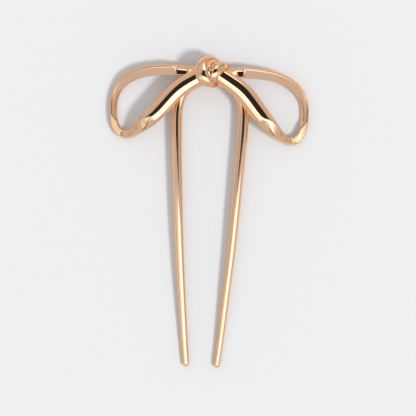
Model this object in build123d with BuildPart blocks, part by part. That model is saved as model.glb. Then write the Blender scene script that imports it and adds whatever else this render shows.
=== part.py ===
import os
from math import sqrt

from build123d import *

# A bow hair pin of the two-pronged French kind, in polished metal, lying face up on a table.
# The origin is on the table, in the middle of the pin's box.
# +X is to the right, +Y runs from the tips of the prongs to the knot, +Z is up.

# The whole pin
pin_length = 120.0
bow_reach = 38.5
loop_drop = 26.9

# The bow sits a little to the left of the fork's middle, and a little turned on it, degrees
bow_offset = -0.3
bow_turn = -0.45

# The fork: round rod, thickest under the bow
rod_diameter = 4.1
tip_diameter = 2.5
rod_height = 3.55
prong_spread = 12.8
crown_offset = 3.2

# The band of the bow: the front arm is fat, the top arm and the outer side are narrow
arm_width = 6.9
arm_depth = 4.2
band_width = 4.1
band_depth = 3.4

# The knot: its middle is above the rod's, and its flat back is below the rod's middle
knot_length = 12.2
knot_width = 12.4
knot_lift = 2.6
knot_back = 1.15
core_diameter = 9.6
wrap_width = 4.7
wrap_depth = 3.4

# How far apart two pieces stay where one is seated in the other
seat_clearance = 0.06

# Sections lofted from one row of a table to the next
band_steps = 2
wrap_steps = 3

tips_y = -pin_length / 2
knot_y = pin_length / 2 - knot_length / 2
knot_z = rod_height + knot_lift
rod_top = rod_height + rod_diameter / 2

# The right half of the fork: the prong from its tip up to the shoulder, then the crown to its
# middle.
# along: share of the length from the tips to the crown. out: share of prong_spread.
# rise: share of the way from lying on the table to rod_height. size: share of the way from
# tip_diameter to rod_diameter.
prong_rows = [
    # along, out, rise, size
    (0.000, 0.466, 0.00, 0.00),
    (0.105, 0.560, 0.17, 0.12),
    (0.225, 0.652, 0.45, 0.26),
    (0.400, 0.779, 0.78, 0.48),
    (0.575, 0.877, 0.97, 0.68),
    (0.740, 0.959, 1.00, 0.88),
    (0.855, 1.000, 1.00, 1.00),
]
crown_rows = [
    (0.925, 0.945, 1.00, 1.00),
    (0.967, 0.755, 1.00, 1.00),
    (0.987, 0.520, 1.00, 1.00),
    (0.998, 0.255, 1.00, 1.00),
    (1.000, 0.000, 1.00, 1.00),
]

# The left loop's band in three runs, each loft starting on the last section of the run before.
# out: share of bow_reach. drop: share of loop_drop, down from the knot's middle.
# rise: underside, as a share of the height where it clears the fork.
# width and depth: shares of arm_width and arm_depth in the front arm and the outer corner, and
# of band_width and band_depth in the top arm.
front_arm_rows = [
    # out, drop, rise, width, depth
    (0.080, 0.040, 1.02, 0.93, 1.00),
    (0.205, 0.150, 1.03, 0.96, 1.00),
    (0.334, 0.288, 1.02, 1.00, 1.00),
    (0.429, 0.439, 1.00, 0.99, 1.00),
    (0.513, 0.584, 0.96, 0.96, 1.00),
    (0.594, 0.712, 0.80, 0.86, 0.98),
    (0.673, 0.822, 0.54, 0.68, 0.95),
]
corner_rows = [
    (0.746, 0.899, 0.24, 0.54, 0.92),
    (0.823, 0.940, 0.05, 0.47, 0.90),
    (0.892, 0.903, 0.00, 0.45, 0.90),
    (0.938, 0.805, 0.00, 0.43, 0.90),
    (0.960, 0.650, 0.00, 0.41, 0.90),
]
top_arm_rows = [
    (0.960, 0.485, 0.00, 0.70, 1.11),
    (0.935, 0.335, 0.02, 0.77, 1.08),
    (0.876, 0.205, 0.12, 0.87, 1.04),
    (0.773, 0.098, 0.28, 0.96, 1.00),
    (0.638, 0.030, 0.45, 0.98, 0.94),
    (0.479, 0.000, 0.62, 1.00, 0.88),
    (0.325, -0.006, 0.76, 1.00, 0.82),
    (0.180, -0.004, 0.85, 1.00, 0.78),
    (0.085, 0.000, 0.88, 1.00, 0.76),
]

# The knot's wraps, each from a buried start behind the knot, over its face and down behind it
# again. out, along and rise: shares of half the knot's width and length, from its middle.
# width and depth: shares of wrap_width and wrap_depth.
left_wrap_rows = [
    # out, along, rise, width, depth
    (0.05, 0.46, -0.55, 0.70, 0.90),
    (0.05, 0.72, -0.05, 0.76, 0.96),
    (-0.24, 0.68, 0.36, 0.92, 1.00),
    (-0.58, 0.36, 0.62, 1.00, 1.00),
    (-0.62, -0.14, 0.70, 1.00, 1.00),
    (-0.42, -0.56, 0.46, 0.96, 1.00),
    (-0.16, -0.72, 0.00, 0.90, 1.00),
    (0.00, -0.50, -0.50, 0.80, 0.90),
]
right_wrap_rows = [
    (0.60, 0.10, -0.56, 0.80, 0.80),
    (0.66, 0.38, 0.00, 0.84, 0.90),
    (0.46, 0.36, 0.42, 0.88, 1.00),
    (0.26, 0.14, 0.66, 0.90, 1.00),
    (0.20, -0.20, 0.64, 0.88, 1.00),
    (0.24, -0.54, 0.38, 0.84, 0.96),
    (0.22, -0.66, -0.06, 0.80, 0.90),
    (0.12, -0.44, -0.50, 0.70, 0.80),
]


def smooth_rows(rows, steps):
    """Rows on a smooth curve through the given ones, with so many steps from one to the next.

    The first three values of a row are a place, and the others ride along.
    """
    gaps = [(Vector(b[:3]) - Vector(a[:3])).length for a, b in zip(rows, rows[1:])]
    chords = [
        [(after - before) / gap for before, after in zip(a, b)]
        for a, b, gap in zip(rows, rows[1:], gaps)
    ]
    slopes = [chords[0]]
    for before, after, gap, next_gap in zip(chords, chords[1:], gaps, gaps[1:]):
        weight = next_gap / (gap + next_gap)
        slopes.append([weight * a + (1 - weight) * b for a, b in zip(before, after)])
    slopes.append(chords[-1])
    curve = [rows[0]]
    for i, gap in enumerate(gaps):
        for step in range(1, steps + 1):
            t = step / steps
            start_share = (1 + 2 * t) * (1 - t) ** 2
            start_slope = t * (1 - t) ** 2 * gap
            end_slope = t**2 * (t - 1) * gap
            curve.append(
                [
                    start_share * a + (1 - start_share) * b + start_slope * m + end_slope * n
                    for a, b, m, n in zip(rows[i], rows[i + 1], slopes[i], slopes[i + 1])
                ]
            )
    return curve


def path_directions(points):
    """The direction of a smooth path at each of its points."""
    steps = [b - a for a, b in zip(points, points[1:])]
    directions = [steps[0]]
    for before, after in zip(steps, steps[1:]):
        directions.append(before * after.length + after * before.length)
    directions.append(steps[-1])
    return [direction.normalized() for direction in directions]


def oval(plane, width, depth):
    """A smooth oval of four arcs that meet where their shared tangent is diagonal."""
    diagonal = sqrt(2) / 2
    side_radius = ((1 + diagonal) * depth - diagonal * width) / 2
    face_radius = ((1 + diagonal) * width - diagonal * depth) / 2
    side = width / 2 - side_radius
    face = depth / 2 - face_radius
    with BuildSketch(plane) as section:
        with BuildLine():
            CenterArc((side, 0), side_radius, -45, 90)
            CenterArc((0, face), face_radius, 45, 90)
            CenterArc((-side, 0), side_radius, 135, 90)
            CenterArc((0, -face), face_radius, 225, 90)
        make_face()
    return section.sketch


def smooth_runs(places, run_ends, steps):
    """A smooth curve through the places, cut at some of them, as a list of runs of rows."""
    curve = smooth_rows(places, steps)
    cuts = [end * steps for end in run_ends]
    return [curve[start : end + 1] for start, end in zip([0] + cuts, cuts + [len(curve) - 1])]


def add_bands(runs, outward=lambda point: Vector(0, 0, 1)):
    """Loft each run of rows into a band. A row is a place, a width and a depth."""
    points = [Vector(row[:3]) for run in runs for row in run[:-1]]
    points.append(Vector(runs[-1][-1][:3]))
    directions = path_directions(points)
    first = 0
    for run in runs:
        sections = []
        for row, direction in zip(run, directions[first:]):
            point = Vector(row[:3])
            across = direction.cross(outward(point))
            plane = Plane(origin=point, x_dir=across, z_dir=direction)
            sections.append(oval(plane, row[3], row[4]))
        loft(sections, clean=False)
        first += len(run) - 1


def fork_rows(growth=0.0):
    """The right half of the fork, from its tip to the middle of the crown."""
    crown_y = knot_y - crown_offset
    start_y = tips_y + tip_diameter / 2
    low = tip_diameter / 2
    places = []
    for along, out, rise, size in prong_rows + crown_rows:
        height = low + rise * (rod_height - low)
        diameter = tip_diameter + size * (rod_diameter - tip_diameter) + growth
        place = [out * prong_spread, start_y + along * (crown_y - start_y), height]
        places.append(place + [diameter, diameter])
    places.append([-places[-2][0], *places[-2][1:]])
    return smooth_runs(places, [len(places) - 2], band_steps)[0]


def loop_runs(side, growth=0.0):
    """The runs of the loop on the left (side -1) or on the right (side 1)."""
    clear_height = rod_top + seat_clearance
    places = []
    run_ends = []
    for rows, run_width, run_depth in [
        (front_arm_rows, arm_width, arm_depth),
        (corner_rows, arm_width, arm_depth),
        (top_arm_rows, band_width, band_depth),
    ]:
        for out, drop, rise, width, depth in rows:
            height = rise * clear_height + depth * run_depth / 2
            place = on_bow(side * out * bow_reach, -drop * loop_drop, height)
            places.append([*place, width * run_width + growth, depth * run_depth + growth])
        run_ends.append(len(places) - 1)
    return smooth_runs(places, run_ends[:-1], band_steps)


def on_bow(out, along, height):
    """A place on the bow, from the place under the knot's middle, as the bow sits on the fork."""
    return Vector(out, along, height).rotate(Axis.Z, bow_turn) + Vector(bow_offset, knot_y, 0)


def add_wrap(rows):
    """One wrap of the knot, lying on the knot's round core."""
    middle = on_bow(0, 0, knot_z)
    half_width = knot_width / 2
    half_length = knot_length / 2
    places = []
    for out, along, rise, width, depth in rows:
        height = knot_z + rise * half_length
        place = on_bow(out * half_width, along * half_length, height)
        places.append([*place, width * wrap_width, depth * wrap_depth])
    add_bands(smooth_runs(places, [], wrap_steps), lambda point: point - middle)


with BuildPart() as pin_fork:
    half = fork_rows()
    add_bands([half])
    tip = Vector(half[0][:3])
    with Locations(Plane(origin=tip, z_dir=Vector(half[1][:3]) - tip)):
        Sphere(tip_diameter / 2, arc_size1=-90, arc_size2=0, align=(Align.CENTER, Align.CENTER, Align.MAX))
    mirror(about=Plane.YZ)

with BuildPart() as left_loop:
    add_bands(loop_runs(-1))

with BuildPart() as right_loop:
    add_bands(loop_runs(1))

# What the knot is hollowed for: the rod and the arms that end in it, each with its clearance.
seated_growth = 2 * seat_clearance
with BuildPart() as seated_fork:
    add_bands([fork_rows(seated_growth)])
    mirror(about=Plane.YZ)

seated_arms = []
for side in (-1, 1):
    front_arm, _, top_arm = loop_runs(side, seated_growth)
    for run in (front_arm, top_arm):
        with BuildPart() as seated_arm:
            add_bands([run])
        seated_arms.append(seated_arm.part)

with BuildPart() as knot:
    with Locations(on_bow(0, 0, knot_z)):
        Sphere(core_diameter / 2)
    add_wrap(right_wrap_rows)
    add_wrap(left_wrap_rows)
    split(bisect_by=Plane.XY.offset(rod_height - knot_back), keep=Keep.TOP)
    add(seated_fork.part, clean=False, mode=Mode.SUBTRACT)
    for seated in seated_arms:
        add(seated, clean=False, mode=Mode.SUBTRACT)

os.makedirs("parts", exist_ok=True)
for name, piece in [
    ("pin_fork", pin_fork),
    ("left_loop", left_loop),
    ("right_loop", right_loop),
    ("knot", knot),
]:
    piece.part.label = name
    export_step(piece.part, f"parts/{name}.step")
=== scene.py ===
# %% [markdown]
# A polished hair pin, piece by piece.
#
# The pin is cast metal with a mirror finish: a tapering U-shaped rod, and a bow of one rounded band
# tied in a knot across its closed end. Polished metal has hardly any pattern of its own to paint.
# What the eye reads is the room, bent by the curve of the surface. So this lesson spends its effort
# on smooth meshes and on the room, and only then on the metal.

# %% The measured frame
from math import cos, pi, radians, sin

import bmesh
import bpy
import numpy as np
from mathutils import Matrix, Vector
from mathutils.kdtree import KDTree


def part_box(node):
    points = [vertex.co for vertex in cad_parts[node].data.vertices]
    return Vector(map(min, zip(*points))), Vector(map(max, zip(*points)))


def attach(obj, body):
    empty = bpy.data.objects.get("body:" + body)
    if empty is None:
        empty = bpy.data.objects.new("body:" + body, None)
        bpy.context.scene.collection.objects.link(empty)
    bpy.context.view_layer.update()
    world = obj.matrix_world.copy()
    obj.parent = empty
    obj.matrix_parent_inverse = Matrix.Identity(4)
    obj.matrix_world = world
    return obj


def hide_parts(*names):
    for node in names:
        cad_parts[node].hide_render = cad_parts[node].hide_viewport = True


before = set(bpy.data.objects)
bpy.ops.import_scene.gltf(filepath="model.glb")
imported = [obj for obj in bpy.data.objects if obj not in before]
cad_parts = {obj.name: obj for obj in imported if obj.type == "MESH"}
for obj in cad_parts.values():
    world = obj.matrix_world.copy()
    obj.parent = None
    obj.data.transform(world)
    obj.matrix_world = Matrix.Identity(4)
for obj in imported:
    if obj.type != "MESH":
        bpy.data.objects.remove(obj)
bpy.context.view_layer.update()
MM = 0.001
fork_low, fork_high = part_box("pin_fork")
knot_low, knot_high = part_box("knot")
print("fork from", fork_low, "to", fork_high)
print("knot from", knot_low, "to", knot_high)

# %% [markdown]
# The sizes that the pin is made from, in millimetres. They are the same few sizes that the solid
# model is made from: the tables further down hold shares of them, so that a row reads as "so much
# of the way out, so much of the way down".

# %% Driving sizes
tips_y = fork_low.y / MM
pin_length = 120.0
knot_length = 12.2
knot_width = 12.4
knot_lift = 2.6
knot_y = tips_y + pin_length - knot_length / 2
bow_reach = 38.5
loop_drop = 26.9
bow_offset = -0.3
bow_turn = radians(-0.45)
rod_diameter = 4.1
tip_diameter = 2.5
rod_height = 3.55
prong_spread = 12.8
crown_offset = 3.2
arm_width = 6.9
arm_depth = 4.2
band_width = 4.1
band_depth = 3.4
seat_clearance = 0.06
knot_z = rod_height + knot_lift
clear_height = rod_height + rod_diameter / 2 + seat_clearance
print("knot's middle at y", knot_y, "and height", knot_z, "bow clears the rod at", clear_height)

# %% [markdown]
# A mirror shows every flaw in a curve. Where two arcs only share a tangent, the stripe of a
# reflection gets a visible corner. A natural cubic spline also keeps the bend itself continuous, so
# the reflections run through its points without a kink. Each row of a table is a place and some
# sizes, and all of its columns go through the same spline.


# %% A smooth curve through the rows of a table
def smooth(rows, steps):
    """Rows on a natural cubic spline through the given ones. The first three values are a place."""
    rows = np.array(rows, float)
    gaps = np.linalg.norm(np.diff(rows[:, :3], axis=0), axis=1)
    count = len(rows)
    system = np.zeros((count, count))
    sides = np.zeros_like(rows)
    system[0, 0] = system[-1, -1] = 1.0
    slopes = np.diff(rows, axis=0) / gaps[:, None]
    for i in range(1, count - 1):
        system[i, i - 1 : i + 2] = gaps[i - 1], 2 * (gaps[i - 1] + gaps[i]), gaps[i]
        sides[i] = 6 * (slopes[i] - slopes[i - 1])
    bends = np.linalg.solve(system, sides)
    curve = []
    for i, gap in enumerate(gaps):
        last = i == len(gaps) - 1
        for t in np.linspace(0, 1, steps + 1)[: steps + last]:
            left, right = 1 - t, t
            bow = ((left**3 - left) * bends[i] + (right**3 - right) * bends[i + 1]) * gap**2 / 6
            curve.append(left * rows[i] + right * rows[i + 1] + bow)
    return np.array(curve)


def directions_along(points):
    """The direction of a path at each of its points."""
    ahead = np.gradient(points, axis=0)
    return ahead / np.linalg.norm(ahead, axis=1)[:, None]


# %% [markdown]
# Every piece of the pin is a band swept along such a curve. The section starts as an oval, and may
# have flats filed on it, because the bow's band is round on its front and flat on its back, and
# turns over at the corner of each loop. Filing is soft: the flat melts into the round over a
# fraction of a millimetre, as polishing leaves it.


# %% The section of a band
ring_points = 120
ring_angles = np.linspace(0, 2 * pi, ring_points, endpoint=False)
filing_softness = 0.12


def oval_ring(width, depth, fullness=2.0):
    """Points round an oval. Fullness above 2 squares it off a little."""
    power = 2 / fullness
    c, s = np.cos(ring_angles), np.sin(ring_angles)
    across = width / 2 * np.sign(c) * np.abs(c) ** power
    up = depth / 2 * np.sign(s) * np.abs(s) ** power
    return np.stack([across, up], axis=1)


def turned(ring, angle):
    """The ring turned about its middle, from the sky towards the inside."""
    return ring @ np.array([[cos(angle), -sin(angle)], [sin(angle), cos(angle)]])


def filed(ring, angle, corner):
    """The ring with a flat filed on it. The flat faces the angle and passes through the corner."""
    facing = np.array([cos(angle), sin(angle)])
    over = ring @ facing - corner @ facing
    taken = (over + np.sqrt(over**2 + filing_softness**2)) / 2
    return ring - np.outer(taken, facing)


def evened(ring):
    """The ring with its points at even steps again, from the one that is furthest inside."""
    closed = np.concatenate([ring, ring[:1]])
    runs = np.concatenate([[0.0], np.cumsum(np.linalg.norm(np.diff(closed, axis=0), axis=1))])
    places = np.linspace(0, runs[-1], ring_points, endpoint=False)
    return np.stack([np.interp(places, runs, closed[:, axis]) for axis in (0, 1)], axis=1)


# %% [markdown]
# A curve with a bevel would sweep one section only. Here the section changes all the way, so the
# sweep is done by hand: one ring of points at each place of the path, and four-sided faces between
# neighbouring rings. A half ball closes an end that shows, as the prongs' blunt tips do.


# %% Sweeping a section along a path
weld_distance = 0.001 * MM


def sweep(points, sides, ups, rings):
    """Vertices of a tube: one ring of points about each place on the path, in metres."""
    places = points[:, None, :]
    ring = rings[:, :, :1] * sides[:, None, :] + rings[:, :, 1:] * ups[:, None, :]
    return (places + ring) * MM


def dome(points, rings, sides, ups, ahead, radius, steps=10):
    """Rings that close the start of a tube with a half ball."""
    angles = np.linspace(pi / 2, 0, steps, endpoint=False)
    extra_points = [points[0] - ahead[0] * radius * sin(a) for a in angles]
    extra_rings = [rings[0] * max(cos(a), 0.0) for a in angles]
    points = np.concatenate([extra_points, points])
    rings = np.concatenate([extra_rings, rings])
    sides = np.concatenate([np.repeat(sides[:1], steps, axis=0), sides])
    ups = np.concatenate([np.repeat(ups[:1], steps, axis=0), ups])
    return points, rings, sides, ups


def tube_mesh(name, vertices):
    """A closed, smooth-shaded mesh from the rings of a tube."""
    rows, around = vertices.shape[:2]
    index = np.arange(rows * around).reshape(rows, around)
    next_round = np.roll(index, -1, axis=1)
    corners = [index[:-1], next_round[:-1], next_round[1:], index[1:]]
    quads = np.stack(corners, axis=-1).reshape(-1, 4)
    faces = quads.tolist() + [index[0, ::-1].tolist(), index[-1].tolist()]
    mesh = bpy.data.meshes.new(name)
    mesh.from_pydata(vertices.reshape(-1, 3).tolist(), [], faces)
    skin = bmesh.new()
    skin.from_mesh(mesh)
    bmesh.ops.remove_doubles(skin, verts=skin.verts, dist=weld_distance)
    bmesh.ops.recalc_face_normals(skin, faces=skin.faces)
    skin.to_mesh(mesh)
    skin.free()
    mesh.shade_smooth()
    piece = bpy.data.objects.new(name, mesh)
    bpy.context.collection.objects.link(piece)
    return piece


# %% [markdown]
# The fork is one rod, bent into a U and drawn down to a blunt tip at each end. Its crown is level
# and its prongs come down to the table. The rod is not quite round: its flatter face leans inward,
# which carries the dark stripe of the reflection a little towards the inside of the U.

# %% The fork
prong_rows = [
    # along, out, rise, size
    (0.000, 0.466, 0.00, 0.00),
    (0.105, 0.560, 0.17, 0.12),
    (0.225, 0.652, 0.45, 0.26),
    (0.400, 0.779, 0.78, 0.48),
    (0.575, 0.877, 0.97, 0.68),
    (0.740, 0.959, 1.00, 0.88),
    (0.855, 1.000, 1.00, 1.00),
    (0.925, 0.945, 1.00, 1.00),
    (0.967, 0.755, 1.00, 1.00),
    (0.987, 0.520, 1.00, 1.00),
    (0.998, 0.255, 1.00, 1.00),
]
rod_lean = radians(30)
rod_flatness = 0.90
fork_steps = 14


def fork_rows():
    """The whole fork, from the left tip over the crown to the right tip, with diameter and lean."""
    start_y = tips_y + tip_diameter / 2
    crown_y = knot_y - crown_offset
    low = tip_diameter / 2
    half = []
    for along, out, rise, size in prong_rows:
        x = out * prong_spread
        y = start_y + along * (crown_y - start_y)
        height = low + rise * (rod_height - low)
        half.append([x, y, height, tip_diameter + size * (rod_diameter - tip_diameter), out])
    crown = [0.0, crown_y, rod_height, rod_diameter, 0.0]
    left = [[-row[0], *row[1:4], -row[4]] for row in half]
    return left + [crown] + half[::-1]


def make_fork():
    rows = smooth(fork_rows(), fork_steps)
    points = rows[:, :3]
    ahead = directions_along(points)
    sides = np.cross(ahead, [0.0, 0.0, 1.0])
    sides /= np.linalg.norm(sides, axis=1)[:, None]
    ups = np.cross(sides, ahead)
    rings = []
    for diameter, lean in rows[:, 3:]:
        width = diameter * (1 + rod_flatness) / 2 / rod_flatness**0.5
        ring = oval_ring(width, diameter * rod_flatness**0.5)
        rings.append(turned(ring, rod_lean * lean))
    tube = dome(points, np.array(rings), sides, ups, ahead, tip_diameter / 2)
    other_way = [part[::-1] for part in tube]
    points, rings, sides, ups = dome(*other_way, -ahead[::-1], tip_diameter / 2)
    piece = tube_mesh("fork_rod", sweep(points, sides, ups, rings))
    print("fork mesh has", len(piece.data.polygons), "faces")
    return piece


fork = make_fork()

# %% [markdown]
# Each loop of the bow is one band. Its front arm is round and fat and comes down from the knot.
# At the fold the band turns over: a flat face comes up from the inside of the loop, and from there
# on it is what shows. A table gives the path, from the knot down the front arm, round the corner,
# and back to the knot along the top arm.

# %% The path of a loop
front_arm_rows = [
    # out, drop, rise, width, depth
    (0.080, 0.040, 1.02, 0.93, 1.00),
    (0.205, 0.150, 1.03, 0.96, 1.00),
    (0.334, 0.288, 1.02, 1.00, 1.00),
    (0.429, 0.439, 1.00, 0.99, 1.00),
    (0.513, 0.584, 0.99, 0.96, 1.00),
    (0.594, 0.712, 0.95, 0.86, 0.98),
    (0.673, 0.822, 0.72, 0.68, 0.95),
    (0.746, 0.899, 0.36, 0.54, 0.92),
    (0.823, 0.940, 0.12, 0.47, 0.90),
    (0.892, 0.903, 0.01, 0.45, 0.90),
    (0.938, 0.805, 0.00, 0.43, 0.90),
    (0.960, 0.650, 0.00, 0.41, 0.90),
]
top_arm_rows = [
    (0.960, 0.485, 0.00, 0.70, 1.11),
    (0.935, 0.335, 0.04, 0.77, 1.08),
    (0.876, 0.205, 0.20, 0.87, 1.04),
    (0.773, 0.098, 0.40, 0.96, 1.00),
    (0.638, 0.030, 0.54, 0.98, 0.94),
    (0.479, 0.000, 0.65, 1.00, 0.88),
    (0.325, -0.006, 0.76, 1.00, 0.82),
    (0.180, -0.004, 0.85, 1.00, 0.78),
    (0.085, 0.000, 0.88, 1.00, 0.76),
]
loop_steps = 32


def on_bow(out, along, height):
    """A place on the bow, from the place under the knot's middle, as the bow sits on the fork."""
    x = out * cos(bow_turn) - along * sin(bow_turn)
    y = out * sin(bow_turn) + along * cos(bow_turn)
    return [x + bow_offset, y + knot_y, height]


def loop_places(side):
    """The places of the path on the left (side -1) or right (side 1), with widths and depths."""
    places = []
    for rows, run_width, run_depth in [
        (front_arm_rows, arm_width, arm_depth),
        (top_arm_rows, band_width, band_depth),
    ]:
        for out, drop, rise, width, depth in rows:
            height = rise * clear_height + depth * run_depth / 2
            place = on_bow(side * out * bow_reach, -drop * loop_drop, height)
            places.append([*place, width * run_width, depth * run_depth])
    return places


print("a loop's path has", len(loop_places(1)), "places")

# %% [markdown]
# A second table says where the faces of the band lie. Station 0 is the path's first row, station 1
# its second, and so on. Lean rolls the whole section towards the inside. Face and flank are the
# ways that two flats look, in degrees from the inside of the loop up to the sky and on to the
# outside. They meet on a ridge, whose place is given across the band, from -1 on the outside to 1
# on the inside, and in height. A ridge that is higher than the oval files nothing away. The hem is
# the place across the band where a last narrow flat starts, which looks to the inside. Near the
# knot the top arm's face tips towards the sky for a short way: its dark spot shows there.

# %% The faces of a band
turned_faces = [
    # station, lean, face, flank, ridge across, ridge height, hem
    (5.5, 2, 86, 125, -0.45, 0.80, 1.60),
    (6.0, 0, 81, 124, -0.75, 0.80, 1.50),
    (6.6, 0, 75, 122, -0.95, 0.86, 1.40),
    (7.6, 0, 72, 118, -1.00, 0.90, 1.30),
    (8.05, 0, 71, 112, -1.00, 0.92, 1.30),
    (8.45, 0, 71, 112, 0.00, 0.63, 1.30),
    (8.80, 0, 71, 112, 0.95, 0.95, 1.30),
    (10.1, 0, 60, 112, 0.95, 0.95, 1.10),
    (11.0, 0, 56, 114, -0.50, 0.80, 0.42),
    (12.0, 0, 56, 116, -0.56, 0.78, 0.44),
    (13.0, 0, 58, 118, -0.60, 0.76, 0.56),
    (14.2, 0, 64, 120, -0.64, 0.76, 0.76),
    (15.5, 0, 68, 122, -0.68, 0.76, 0.90),
]
left_faces = [
    (0.0, 9, 84, 100, -0.16, 1.03, 1.60),
    (4.75, 9, 84, 100, -0.16, 1.03, 1.60),
    (5.1, 5, 88, 112, -0.10, 0.94, 1.60),
    *turned_faces,
    (17.78, 0, 68, 122, -0.60, 0.80, 1.10),
    (17.90, 0, 97, 122, -0.10, 0.50, 1.60),
    (18.60, 0, 99, 122, 0.00, 0.44, 1.60),
    (18.74, 0, 104, 122, -0.20, 0.52, 1.60),
    (18.90, 0, 113, 122, 0.10, 0.62, 1.60),
    (20.0, 0, 113, 122, 0.00, 0.70, 1.60),
]
right_faces = [
    (0.0, 0, 80, 98, -0.20, 1.06, 1.60),
    (4.2, 0, 80, 98, -0.20, 1.06, 1.60),
    (4.7, 0, 90, 112, 0.00, 0.94, 1.60),
    *turned_faces,
    (17.93, 0, 68, 122, -0.66, 0.80, 1.10),
    (18.03, 0, 97, 122, -0.28, 0.47, 1.60),
    (18.40, 0, 99, 122, -0.28, 0.47, 1.60),
    (18.56, 0, 106, 122, -0.15, 0.54, 1.60),
    (18.75, 0, 113, 122, 0.05, 0.64, 1.60),
    (20.0, 0, 113, 122, 0.00, 0.70, 1.60),
]
ease_steps = 5


def faces_along(faces, count):
    """The table of faces read at every step of the path, with its sudden changes eased."""
    faces = np.array(faces, float)
    stations = np.arange(count) / loop_steps
    ease = np.hanning(ease_steps + 2)[1:-1]
    ease /= ease.sum()
    columns = [np.interp(stations, faces[:, 0], column) for column in faces[:, 1:].T]
    padded = [np.pad(column, ease_steps // 2, "edge") for column in columns]
    return np.stack([np.convolve(column, ease, "valid") for column in padded], axis=1)


# %% [markdown]
# Where two faces of the real band meet, a fine crease is left that no polishing wheel gets into. It
# could be painted, but a mirror would still run straight across it. So it is pressed into the
# section as a shallow groove along the ridge. The fullness squares the top arm off near the knot.

# %% Creases between the faces
creases = [
    # station, depth
    (4.7, 0.00),
    (5.0, 0.12),
    (7.9, 0.12),
    (8.3, 0.00),
    (9.6, 0.00),
    (10.2, 0.05),
    (12.2, 0.05),
    (12.8, 0.00),
    (13.6, 0.00),
    (14.2, 0.03),
    (17.2, 0.05),
    (17.6, 0.00),
]
crease_reach = 0.28
fullnesses = [(17.0, 2.0), (17.7, 3.2)]
hem_angle = radians(38)


def band_section(width, depth, lean, face, flank, across, high, hem, crease, fullness):
    """An oval with its face, flank and hem filed flat, and a crease along the ridge."""
    ring = turned(oval_ring(width, depth, fullness), radians(lean))
    ridge = np.array([across * width, high * depth]) / 2
    ring = filed(ring, radians(flank), ridge)
    ring = filed(ring, radians(face), ridge)
    run = (hem - across) * width / 2
    ring = evened(filed(ring, hem_angle, ridge + [run, -run / np.tan(radians(face))]))
    middle = radians((face + flank) / 2)
    away = np.linalg.norm(ring - ridge, axis=1)
    pressed = crease * np.exp(-((away / crease_reach) ** 2))
    return ring - np.outer(pressed, [cos(middle), sin(middle)])


# %% [markdown]
# Creases and grooves get painted shade: their colour is painted brown, to stand for the shade and
# the dark reflection that fall in them. The metal has to know where they are. The points of the
# mesh carry a number for that, up to 1 in the bottom of a crease and 0 on the open skin, which the
# material reads further down. It is found by the distance to the nearest place on the crease, so it
# needs no unwrapping.

# %% Marking the painted shade in creases
painted_shade_reach = 0.32


def painted_shade(piece, places, strengths, reach):
    """Mark the skin near some places, in millimetres, for painted shade."""
    tree = KDTree(len(places))
    for index, place in enumerate(places):
        tree.insert(Vector(place) * MM, index)
    tree.balance()
    marks = piece.data.attributes
    layer = marks.get("painted_shade") or marks.new("painted_shade", "FLOAT", "POINT")
    for vertex, mark in zip(piece.data.vertices, layer.data):
        _, index, away = tree.find(vertex.co)
        fading = np.exp(-((away / (reach * MM)) ** 2))
        mark.value = max(mark.value, strengths[index] * fading)


# %% [markdown]
# Both loops come from the same path. The right one is the left one mirrored, but for its faces,
# which turn over at a slightly different place, as on a bow that is tied by hand.


# %% The loops
def make_loop(name, side, faces):
    rows = smooth(loop_places(side), loop_steps)
    points = rows[:, :3]
    ahead = directions_along(points)
    inward = np.cross(ahead, [0.0, 0.0, 1.0]) * -side
    inward /= np.linalg.norm(inward, axis=1)[:, None]
    ups = np.cross(inward, ahead) * -side
    stations = np.arange(len(rows)) / loop_steps
    depths = np.interp(stations, *np.transpose(creases))
    full = np.interp(stations, *np.transpose(fullnesses))
    looks = faces_along(faces, len(rows))
    rings = [
        band_section(*sizes, *look, crease, fullness)
        for sizes, look, crease, fullness in zip(rows[:, 3:], looks, depths, full)
    ]
    loop = tube_mesh(name, sweep(points, inward, ups, np.array(rings)))
    ridges = looks[:, 3:5] * rows[:, 3:] / 2
    line = points + inward * ridges[:, :1] + ups * ridges[:, 1:]
    creased = depths > 0
    # The creases get painted shade along their ridge line.
    painted_shade(loop, line[creased], np.sqrt(depths[creased] / max(depths)), painted_shade_reach)
    print(name, "mesh has", len(loop.data.polygons), "faces")
    return loop


left_band = make_loop("left_band", -1, left_faces)
right_band = make_loop("right_band", 1, right_faces)

# %% [markdown]
# A tiny ring is pressed into the corner of each loop, where the turned face ends, and its groove
# gets painted shade. The loop's points lie close enough together there to be pushed down one by
# one, which keeps the skin closed.

# %% The pressed rings
ring_radius = 0.55
ring_depth = 0.18
ring_groove = 0.16
ring_outside = 2.5 * ring_radius
left_ring = (-33.9, 29.0)
right_ring = (31.4, 28.3)
pressed_shade = 0.8
looks_up = 0.3


def press_ring(loop, middle):
    """Push a ring-shaped groove into the top of a loop, about a place in millimetres."""
    count = 0
    for vertex, mark in zip(loop.data.vertices, loop.data.attributes["painted_shade"].data):
        away = (Vector((vertex.co.x, vertex.co.y)) / MM - Vector(middle)).length
        if away < ring_outside and vertex.normal.z > looks_up:
            pressed = np.exp(-(((away - ring_radius) / ring_groove) ** 2))
            vertex.co.z -= ring_depth * MM * pressed
            # The ring's groove also gets painted shade.
            mark.value = max(mark.value, pressed_shade * pressed)
            count += 1
    print(loop.name, "ring moved", count, "points")


press_ring(left_band, left_ring)
press_ring(right_band, right_ring)

# %% [markdown]
# The knot is two wraps of the band and a thin fold between them, pulled tight over a round core.
# The outer half of a wrap is squared off to a flat face with an edge, and the inner half stays
# round. A mirror on a small round form shows the whole room at once, so it matters which way a face
# looks. The last two columns say so: how far it looks to the right and how far up the picture, for
# one part towards the sky.

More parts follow.
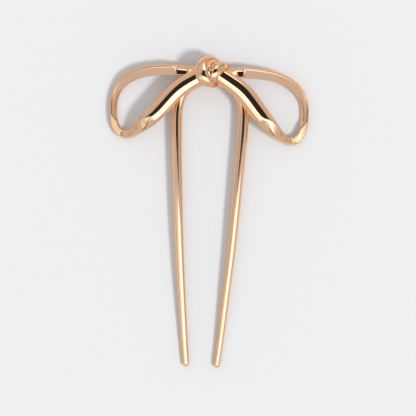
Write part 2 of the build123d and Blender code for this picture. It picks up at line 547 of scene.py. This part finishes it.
# %% The rows of the knot
left_wrap_rows = [
    # out, along, rise, outer and inner half width, depth, their squareness, looks right, looks up
    (0.22, 0.50, -0.20, 0.80, 0.80, 2.2, 3.0, 2.0, 0.30, 0.90),
    (0.12, 0.70, 0.08, 0.95, 0.90, 2.8, 3.0, 2.0, 0.10, 0.90),
    (-0.24, 0.68, 0.27, 1.20, 1.40, 3.4, 3.2, 2.0, -0.24, 0.75),
    (-0.50, 0.42, 0.44, 1.85, 2.40, 4.0, 3.6, 2.0, -0.60, 0.45),
    (-0.58, 0.00, 0.57, 2.20, 3.00, 4.4, 4.0, 2.0, -0.66, 0.15),
    (-0.44, -0.42, 0.67, 2.20, 2.60, 4.4, 4.0, 2.0, -0.60, 0.00),
    (-0.14, -0.70, 0.58, 1.60, 2.10, 3.8, 3.6, 2.0, -0.14, -0.45),
    (0.20, -0.73, 0.26, 1.30, 1.60, 3.2, 3.2, 2.0, 0.10, -0.60),
    (0.36, -0.50, -0.20, 1.10, 1.20, 2.6, 3.0, 2.0, 0.30, -0.50),
]
right_wrap_rows = [
    (0.80, 0.34, -0.40, 1.60, 1.80, 2.8, 3.0, 3.0, 0.60, 0.35),
    (0.80, 0.34, 0.10, 1.80, 2.00, 3.0, 3.2, 3.2, 0.60, 0.35),
    (0.68, 0.28, 0.45, 1.80, 2.10, 3.2, 3.4, 3.4, 0.58, 0.32),
    (0.47, 0.14, 0.58, 1.80, 2.20, 3.6, 3.6, 2.8, 0.56, 0.26),
    (0.29, -0.08, 0.65, 1.60, 2.30, 3.8, 3.6, 2.2, 0.56, 0.10),
    (0.21, -0.34, 0.61, 0.95, 2.20, 3.8, 3.2, 2.0, 0.40, -0.10),
    (0.18, -0.56, 0.38, 0.80, 2.00, 3.4, 3.0, 2.0, 0.30, -0.30),
    (0.16, -0.60, 0.00, 0.80, 1.50, 3.0, 3.0, 2.0, 0.20, -0.40),
]
thin_fold_rows = [
    (0.30, 0.52, 0.10, 0.80, 0.80, 2.0, 3.0, 3.0, -0.60, 0.60),
    (0.04, 0.57, 0.42, 0.95, 0.90, 2.2, 3.6, 3.6, -0.70, 0.50),
    (-0.11, 0.38, 0.66, 0.95, 0.90, 2.4, 4.0, 4.0, -0.62, 0.30),
    (-0.15, 0.10, 0.78, 0.95, 0.90, 2.4, 4.0, 4.0, -0.62, 0.10),
    (-0.09, -0.22, 0.76, 0.85, 0.70, 2.4, 4.0, 4.0, -0.62, 0.00),
    (0.10, -0.48, 0.52, 0.50, 0.50, 2.0, 3.0, 3.0, -0.50, -0.20),
]
wrap_steps = 16


# %% The wraps and the core
def wrap_section(outer, inner, depth, outer_square, inner_square):
    """A wrap's section: round on its inner half, squared off to a flat and an edge on its outer."""
    outer_half = oval_ring(2 * outer, depth, outer_square)
    inner_half = oval_ring(2 * inner, depth, inner_square)
    return evened(np.where(outer_half[:, :1] > 0, inner_half, outer_half))


def make_wrap(name, side, rows):
    """A band of the knot. Its inner half is on the right (side -1) or on the left (side 1)."""
    places = []
    for out, along, rise, *sizes in rows:
        height = knot_z + rise * knot_length / 2
        place = on_bow(out * knot_width / 2, along * knot_length / 2, height)
        places.append([*place, *sizes])
    rows = smooth(places, wrap_steps)
    points = rows[:, :3]
    ahead = directions_along(points)
    outward = np.concatenate([rows[:, 8:], np.ones((len(rows), 1))], axis=1)
    inward = np.cross(ahead, outward) * side
    inward /= np.linalg.norm(inward, axis=1)[:, None]
    ups = np.cross(inward, ahead) * side
    rings = [wrap_section(*row) for row in rows[:, 3:8]]
    return tube_mesh(name, sweep(points, inward, ups, np.array(rings)))


core_diameter = 9.6
knot_middle = np.array(on_bow(0, 0, knot_z))


def make_core(name):
    bpy.ops.mesh.primitive_uv_sphere_add(
        segments=64, ring_count=32, radius=core_diameter / 2 * MM, location=knot_middle * MM
    )
    core = bpy.context.active_object
    core.name = name
    core.data.shade_smooth()
    return core


# %% [markdown]
# The wraps and the core cross each other. On the real pin they are one casting, so they are joined
# into one skin by a Boolean union, which also drops what lies inside and would never be seen.


# %% The knot as one skin
def melt_into(piece, others):
    """Join closed meshes into one closed skin, and drop what lies inside."""
    for other in others:
        union = piece.modifiers.new("union", "BOOLEAN")
        union.operation = "UNION"
        union.solver = "EXACT"
        union.object = other
    bpy.context.view_layer.update()
    graph = bpy.context.evaluated_depsgraph_get()
    mesh = bpy.data.meshes.new_from_object(piece.evaluated_get(graph))
    piece.modifiers.clear()
    piece.data = mesh
    for other in others:
        bpy.data.objects.remove(other)
    piece.data.shade_smooth()


knot_skin = make_wrap("knot_wraps", -1, left_wrap_rows)
right_wrap = make_wrap("right_wrap", 1, right_wrap_rows)
thin_fold = make_wrap("thin_fold", 1, thin_fold_rows)
melt_into(knot_skin, [right_wrap, thin_fold, make_core("core")])
print("knot mesh has", len(knot_skin.data.polygons), "faces")

# %% [markdown]
# The union leaves sharp grooves where one wrap dives under another. Its edges that fold inwards by
# more than about 20 degrees are those grooves, so the mesh itself says where the painted shade
# goes.

# %% The knot's grooves
groove_fold = -0.35
groove_shade = 0.45
groove_reach = 0.22


def groove_places(piece):
    """The places, in millimetres, where the skin folds sharply inwards."""
    skin = bmesh.new()
    skin.from_mesh(piece.data)
    places = [
        (edge.verts[0].co + edge.verts[1].co) / 2 / MM
        for edge in skin.edges
        if len(edge.link_faces) == 2 and edge.calc_face_angle_signed() < groove_fold
    ]
    skin.free()
    return places


grooves = groove_places(knot_skin)
# The knot's grooves get painted shade.
painted_shade(knot_skin, grooves, [groove_shade] * len(grooves), groove_reach)
print("knot has", len(grooves), "edges in grooves")

# %% [markdown]
# The right wrap has a short crease of its own on top, where the band folds as it goes under. It is
# pressed in like the rings, by the distance from a line instead of a circle.

# %% The fold on the right wrap
fold_depth = 0.12
fold_reach = 0.2
fold_outside = 3 * fold_reach
fold_start = (2.5, 55.4)
fold_end = (4.7, 56.5)


def press_fold(piece, start, end):
    """Push a short crease into the top of a piece, from one place in millimetres to another."""
    start, run = np.array(start), np.subtract(end, start)
    count = 0
    for vertex, mark in zip(piece.data.vertices, piece.data.attributes["painted_shade"].data):
        from_start = np.array(vertex.co.xy) / MM - start
        along = np.clip(from_start @ run / (run @ run), 0, 1)
        away = np.linalg.norm(from_start - along * run)
        if away < fold_outside and vertex.normal.z > looks_up:
            pressed = np.exp(-((away / fold_reach) ** 2))
            vertex.co.z -= fold_depth * MM * pressed
            # The crease also gets painted shade.
            mark.value = max(mark.value, pressed_shade * pressed)
            count += 1
    print(piece.name, "fold moved", count, "points")


press_fold(knot_skin, fold_start, fold_end)

# %% [markdown]
# Shader maths reads best as arithmetic. This small class wraps one socket of a node tree and turns
# Python's operators into Math nodes, so that a mask can be written as an expression. Any other node
# comes from one function, and a colour goes through a Mix node, since a Math node would turn it
# grey.


# %% Nodes as expressions
class Value:
    """A socket that can be added, subtracted, multiplied and divided."""

    def __init__(self, tree, socket):
        self.tree = tree
        self.socket = socket

    def math(self, operation, *others):
        return node(self.tree, "ShaderNodeMath", {"operation": operation}, [self, *others])

    def __add__(self, other):
        return self.math("ADD", other)

    def __mul__(self, other):
        return self.math("MULTIPLY", other)

    def __sub__(self, other):
        return self.math("SUBTRACT", other)

    def __rsub__(self, other):
        return self * -1 + other

    def __truediv__(self, other):
        return self.math("DIVIDE", other)

    __radd__ = __add__
    __rmul__ = __mul__

    def between(self, low, high):
        """0 below low and 1 above high, with a soft step from one to the other."""
        settings = {"interpolation_type": "SMOOTHSTEP"}
        sockets = {"Value": self, "From Min": low, "From Max": high}
        return node(self.tree, "ShaderNodeMapRange", settings, sockets)


def feed(tree, socket, value):
    """Link a value to a socket, or set the socket to a number or a colour."""
    if isinstance(value, Value):
        tree.links.new(value.socket, socket)
    else:
        socket.default_value = value


def node(tree, kind, settings=None, sockets=None, output=0):
    """Add a node, set it, feed its sockets with numbers or links, and give back one output."""
    made = tree.nodes.new(kind)
    for key, setting in (settings or {}).items():
        setattr(made, key, setting)
    pairs = sockets.items() if isinstance(sockets, dict) else enumerate(sockets or [])
    for key, value in pairs:
        feed(tree, made.inputs[key], value)
    return Value(tree, made.outputs[output])


def mixed(factor, low, high):
    """A colour between two colours."""
    tree = factor.tree
    made = tree.nodes.new("ShaderNodeMix")
    made.data_type = "RGBA"
    for name, value in [("Factor_Float", factor), ("A_Color", low), ("B_Color", high)]:
        feed(tree, next(s for s in made.inputs if s.identifier == name), value)
    return Value(tree, next(s for s in made.outputs if s.identifier == "Result_Color"))


# %% [markdown]
# The metal is a thin plating of light rose gold, polished. Its own variation is small but it is
# there: the polish is a touch duller in broad clouds, fine buffing marks cover the pieces and run
# lengthwise on the prongs, and the skin of the casting ripples by a few thousandths of a millimetre
# under the plating. The edge tint makes the gold more orange where it is seen at a glancing angle.
# Where the mesh is marked for painted shade, the colour goes to brown, which paints the shade of
# the creases and grooves, and the polish is duller.

# %% The plating
plating = (0.93, 0.63, 0.44, 1.0)
warm_plating = (0.95, 0.61, 0.39, 1.0)
edge_tint = (1.0, 0.66, 0.28, 1.0)
# The brown of the painted shade in creases and grooves.
crease_shade_brown = (0.30, 0.13, 0.04, 1.0)
polish = 0.045
dullness = 0.03
crease_dullness = 0.15
cloud_scale = 160.0
ripple_scale = 260.0
ripple_share = 0.7
buffing_share = 0.1
ripple_height = 0.000008
rod_grain = (9000.0, 500.0, 9000.0)
bow_grain = (4000.0, 4000.0, 4000.0)


def noise(tree, place, scale, detail):
    sockets = {"Vector": place, "Scale": scale, "Detail": detail}
    return node(tree, "ShaderNodeTexNoise", {}, sockets)


def make_gold(name, grain):
    material = bpy.data.materials.new(name)
    material.use_nodes = True
    tree = material.node_tree
    shader = tree.nodes["Principled BSDF"]
    place = node(tree, "ShaderNodeTexCoord", output=3)
    clouds = noise(tree, place, cloud_scale, 3.0)
    stretched = node(tree, "ShaderNodeMapping", {}, {"Vector": place, "Scale": grain})
    buffing = noise(tree, stretched, 1.0, 4.0)
    painted_shade_amount = node(tree, "ShaderNodeAttribute", {"attribute_name": "painted_shade"}, output=2)
    fresh = mixed(clouds.between(0.35, 0.65), plating, warm_plating)
    # The painted shade turns the colour brown where the mesh is marked.
    color = mixed(painted_shade_amount, fresh, crease_shade_brown)
    dull = clouds.between(0.4, 0.8) * dullness
    roughness = polish + dull + buffing.between(0.5, 0.9) * dullness + painted_shade_amount * crease_dullness
    ripple = noise(tree, place, ripple_scale, 1.0)
    height = ripple * ripple_share + buffing * buffing_share
    sockets = {"Height": height, "Strength": 1.0, "Distance": ripple_height}
    bump = node(tree, "ShaderNodeBump", {}, sockets)
    shader.inputs["Metallic"].default_value = 1.0
    shader.inputs["Specular Tint"].default_value = edge_tint
    for socket, value in [("Base Color", color), ("Roughness", roughness), ("Normal", bump)]:
        feed(tree, shader.inputs[socket], value)
    print(name, "has", len(tree.nodes), "nodes")
    return material


rod_gold = make_gold("rod_gold", rod_grain)
bow_gold = make_gold("bow_gold", bow_grain)

# %% [markdown]
# Each finished piece takes its metal and stands for one plain solid of the measured frame, which is
# then hidden. The real pin is soldered and nothing on it moves, so all of it rides on one body.

# %% Each piece stands for its node
for piece, cad_node, metal, slot in [
    (fork, "pin_fork", rod_gold, "rod_metal"),
    (left_band, "left_loop", bow_gold, "bow_metal"),
    (right_band, "right_loop", bow_gold, "bow_metal"),
    (knot_skin, "knot", bow_gold, "bow_metal"),
]:
    piece.data.materials.clear()
    piece.data.materials.append(metal)
    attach(piece, "root")
    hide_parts(cad_node)
    print(piece.name, "stands for", cad_node)

# %% [markdown]
# The pin lies on a pale table. The table is matt, and wide enough to fill every view.

# %% The table
table_half = 3.0
table_paint = (0.632, 0.634, 0.645, 1)


def make_table():
    ways = [(-1, -1), (1, -1), (1, 1), (-1, 1)]
    corners = [(x * table_half, y * table_half, 0) for x, y in ways]
    mesh = bpy.data.meshes.new("table")
    mesh.from_pydata(corners, [], [(0, 1, 2, 3)])
    table = bpy.data.objects.new("table", mesh)
    bpy.context.collection.objects.link(table)
    material = bpy.data.materials.new("table_paint")
    material.use_nodes = True
    shader = material.node_tree.nodes["Principled BSDF"]
    shader.inputs["Base Color"].default_value = table_paint
    shader.inputs["Roughness"].default_value = 0.9
    shader.inputs["Specular IOR Level"].default_value = 0.0
    mesh.materials.append(material)
    print("table is", 2 * table_half, "m wide")


make_table()

# %% [markdown]
# The room is what polished metal shows. It could be a photograph wrapped round the scene. Here it
# is worked out from the direction of a ray, as its slopes from the vertical to the east and to the
# north, so each part of the room can be moved until its reflection falls where it should.
#
# A dark hatch stands straight above and a little to the north: it is the black stripe along the
# arms and prongs. Bright boxes stand round it on the right, in front, behind and, weaker, on the
# left. The walls are grey with a glow in front and a shade behind, and warm near the floor. Each
# form is a product of soft edges, and each edge runs from one slope to another. Only the metal sees
# this room. The matt table sees an even sky, which lights it without a pattern.

# %% The room
open_sky = (0.86, 0.86, 0.86, 1.0)
low_walls = (0.68, 0.43, 0.20, 1)
high_walls = (0.64, 0.64, 0.64, 1)
wall_glow = (0.95, 0.95, 0.93, 1)
wall_shade = (0.55, 0.55, 0.55, 1)
box_light = (2.1, 2.1, 2.05, 1)
hatch_dark = (0.03, 0.028, 0.025, 1)
left_box_share = 0.55
near_horizon = 0.02


def hatch_mask(far, north):
    """The dark hatch overhead, and its two wings to the left and right."""
    hatch = far.between(0.50, 0.44) * north.between(-0.01, 0.02) * north.between(0.74, 0.66)
    wings = far.between(0.90, 0.70) * north.between(0.12, 0.15) * north.between(0.40, 0.32)
    return hatch.math("MAXIMUM", wings)


def boxes_mask(east, north):
    """The bright boxes round the hatch."""
    right_box = east.between(-0.05, 0.05) * east.between(1.05, 0.72)
    right_box = right_box * north.between(-0.02, -0.06) * north.between(-0.80, -0.52)
    front_box = north.between(-0.02, -0.06) * north.between(-0.42, -0.25)
    front_box = front_box * east.between(-0.3, -0.15) * east.between(0.3, 0.1)
    back_box = east.between(-0.35, -0.2) * east.between(0.8, 0.5)
    back_box = back_box * north.between(0.72, 0.80) * north.between(2.2, 0.95)
    left_box = east.between(-0.85, -0.5) * east.between(0.0, -0.15)
    left_box = left_box * north.between(-0.12, -0.28) * north.between(-0.85, -0.5)
    boxes = right_box.math("MAXIMUM", front_box).math("MAXIMUM", back_box)
    return boxes.math("MAXIMUM", left_box * left_box_share)


def make_room():
    world = bpy.data.worlds.new("studio")
    bpy.context.scene.world = world
    world.use_nodes = True
    tree = world.node_tree
    background = tree.nodes["Background"]
    ray = node(tree, "ShaderNodeTexCoord", output=0)
    split = node(tree, "ShaderNodeSeparateXYZ", {}, [ray]).socket.node
    x, y, z = (Value(tree, socket) for socket in split.outputs)
    tall = z.math("MAXIMUM", near_horizon)
    east = x / tall
    north = y / tall
    far = east.math("ABSOLUTE")
    hatch = hatch_mask(far, north)
    boxes = boxes_mask(east, north)
    glow = far.between(0.1, 0.3) * far.between(1.7, 1.3)
    glow = glow * north.between(-0.05, -0.16) * north.between(-0.8, -0.62)
    shade = far.between(0.4, 0.6) * north.between(0.0, 0.1) * north.between(0.9, 0.5)
    walls = mixed(z.between(0.05, 0.35), low_walls, high_walls)
    shaded = mixed(shade, mixed(glow, walls, wall_glow), wall_shade)
    lit = mixed(boxes * (1 - hatch), shaded, box_light)
    in_metal = node(tree, "ShaderNodeLightPath", output=3)
    room = mixed(in_metal, open_sky, mixed(hatch, lit, hatch_dark))
    feed(tree, background.inputs["Color"], room)
    background.inputs["Strength"].default_value = 1.0
    print("room has", len(tree.nodes), "nodes")


make_room()

# %% [markdown]
# One lamp throws the shadow. It stands on the right and a little in front, about halfway up the
# sky, and is as wide in the sky as the shadow's edge is soft. The metal doesn't show it, because
# the boxes of the room are what a polished surface should mirror.

# %% The lamp
shadow_side = Vector((-0.88, 0.475, 0.0))
lamp_height = radians(51.5)
lamp_width = radians(12)
lamp_power = 2.05


def make_lamp():
    light = bpy.data.lights.new("key", "SUN")
    light.energy = lamp_power
    light.angle = lamp_width
    lamp = bpy.data.objects.new("key", light)
    ahead = shadow_side.normalized() * cos(lamp_height) - Vector((0, 0, sin(lamp_height)))
    lamp.visible_glossy = False
    lamp.rotation_mode = "QUATERNION"
    lamp.rotation_quaternion = ahead.to_track_quat("-Z", "Y")
    bpy.context.collection.objects.link(lamp)
    print("lamp shines towards", ahead)


make_lamp()

# %% [markdown]
# The camera looks straight down from far away through a long lens, as a catalogue picture is taken.
# The pin lies a little turned in it. The picture is as wide as the frame width at the middle of the
# pin's height. The standard view shows the colours plainly and lets the highlights go white.

# %% The camera
camera_height = 0.645
middle_height = 0.005
frame_width = 0.160
camera_x = 0.40
camera_y = 1.59
picture_turn = radians(2.06)


def make_camera():
    data = bpy.data.cameras.new("camera")
    data.sensor_width = 36.0
    data.lens = data.sensor_width * (camera_height - middle_height) / frame_width
    data.clip_start = 0.01
    camera = bpy.data.objects.new("camera", data)
    camera.location = (camera_x * MM, camera_y * MM, camera_height)
    camera.rotation_euler = (0, 0, picture_turn)
    bpy.context.collection.objects.link(camera)
    bpy.context.scene.camera = camera
    print("lens is", data.lens, "mm")


make_camera()
bpy.context.scene.view_settings.view_transform = "Standard"
